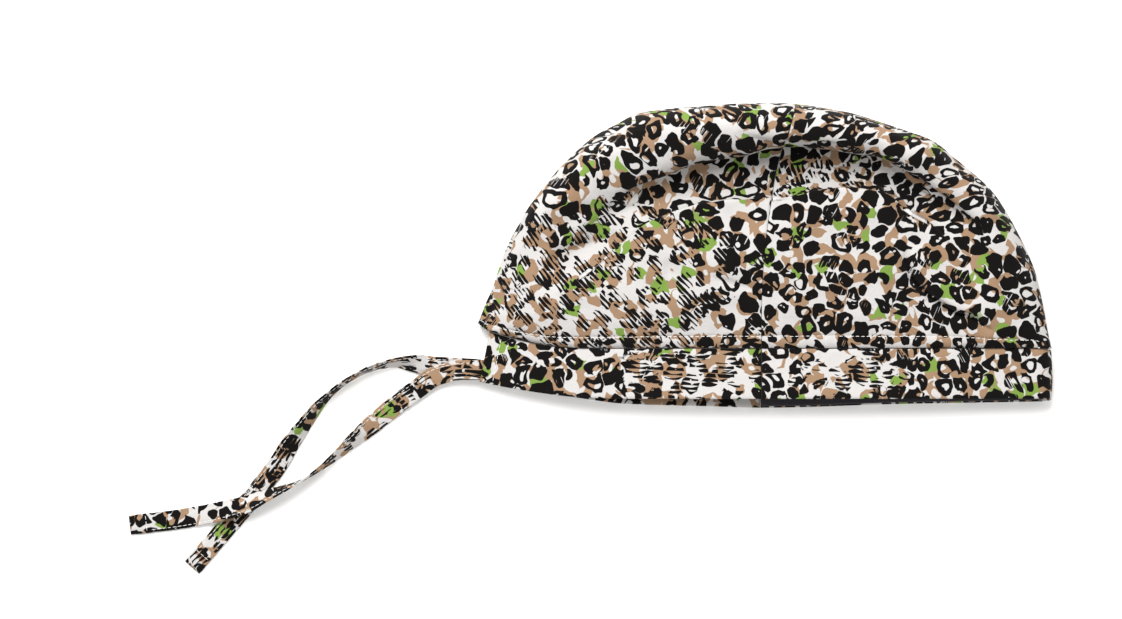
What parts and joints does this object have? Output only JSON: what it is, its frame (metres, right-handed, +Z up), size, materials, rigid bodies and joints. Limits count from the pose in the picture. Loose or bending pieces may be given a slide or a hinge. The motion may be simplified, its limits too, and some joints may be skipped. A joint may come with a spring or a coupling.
{
  "type": "surgical scrub cap",
  "caption": "Tie-back cloth scrub cap with a two-panel crown, a sewn band, an inner sweatband and flat ties, lying on its side.",
  "frame": {"origin": "centre of the plan of the cap without its ties, on the surface that the cap lies on", "axes": "+X towards the forehead fold, +Y from the open mouth to the top of the crown, +Z up from the surface"},
  "size_m": [0.4688, 0.2388, 0.034],
  "materials": {
    "printed_cotton": "printed plain-weave cotton in white, black, tan and green, matt",
    "sweatband_knit": "dark grey knit, matt"
  },
  "bodies": {
    "root": {"crown_back": "printed_cotton", "crown_front": "printed_cotton", "band_back_upper": "printed_cotton", "band_back_lower": "printed_cotton", "band_front": "printed_cotton", "sweatband": "sweatband_knit", "tie_upper": "printed_cotton", "tie_lower": "printed_cotton"}
  },
  "joints": []
}
